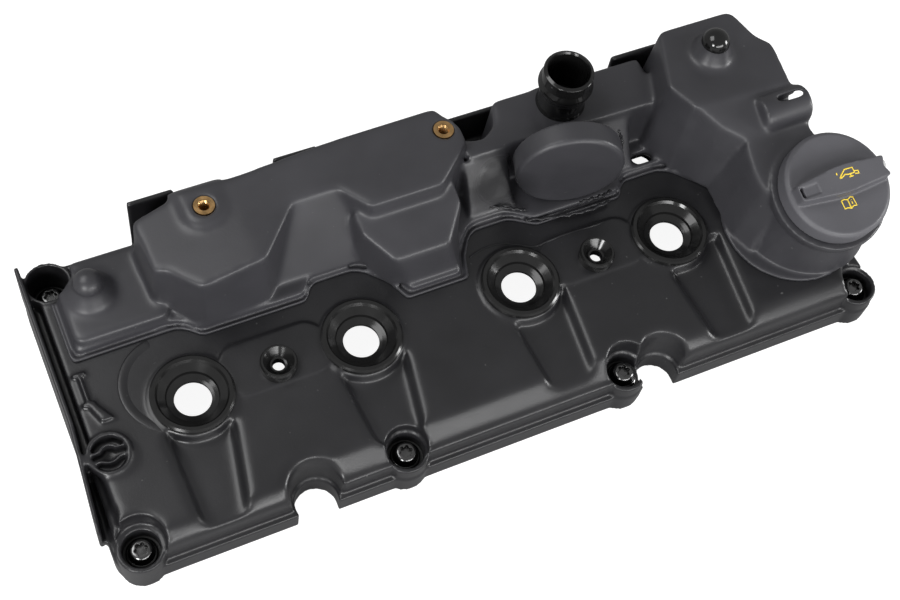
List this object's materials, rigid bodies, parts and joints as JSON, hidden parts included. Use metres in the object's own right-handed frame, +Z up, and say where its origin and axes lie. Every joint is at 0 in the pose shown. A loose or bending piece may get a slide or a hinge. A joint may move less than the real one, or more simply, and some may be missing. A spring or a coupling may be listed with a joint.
{
  "type": "engine valve cover",
  "caption": "Plastic valve cover with injector wells, a welded oil separator housing, a pressure regulator, a breather outlet and an oil filler cap.",
  "frame": {"origin": "on the gasket plane, midway between the two centre bolts", "axes": "+X along the engine to the filler cap, +Y to the back of the cover, +Z up, away from the cylinder head"},
  "size_m": [0.4365, 0.1666, 0.1065],
  "materials": {
    "cover": "satin moulded black",
    "housing": "satin moulded dark grey",
    "inner_plastic": "moulded",
    "rubber": "plain",
    "seal_rubber": "smooth, shiny",
    "gloss_black": "glossy",
    "cap": "fine texture",
    "white_plastic": "plain",
    "steel": "plain",
    "dark_steel": "dark coated",
    "brass": "turned"
  },
  "bodies": {
    "cover": {"cover_body": "cover", "separator_housing": "housing", "separator_baffle": "inner_plastic", "cyclone_block": "inner_plastic", "drain_valves": "rubber", "diaphragm_cover": "housing", "regulator_diaphragm": "rubber", "regulator_spring": "steel", "breather_spigot": "gloss_black", "injector_seal_1": "seal_rubber", "injector_seal_2": "seal_rubber", "injector_seal_3": "seal_rubber", "injector_seal_4": "seal_rubber", "centre_seals": "seal_rubber", "cover_gasket": "rubber", "rim_bolts": "dark_steel", "bolt_sleeves": "steel", "bolt_grommets": "rubber", "threaded_insert_left": "brass", "threaded_insert_right": "brass"},
    "cap": {"filler_cap": "cap", "cap_insert": "white_plastic", "filler_cap_seal": "rubber"},
    "regulator": {"regulator_plate": "inner_plastic"}
  },
  "joints": [
    {"name": "cap_turn", "type": "hinge", "parent": "cover", "child": "cap", "pos_m": [0.205, -0.024, 0.072], "axis": [0, -0.2028, 0.9792], "range_deg": [0, 90]},
    {"name": "regulator_slide", "type": "slide", "parent": "cover", "child": "regulator", "axis": [0.2756, 0.9613, 0], "range_m": [0, 0.003], "stiffness_N_per_m": 200, "deforming": ["regulator_diaphragm", "regulator_spring"]}
  ]
}
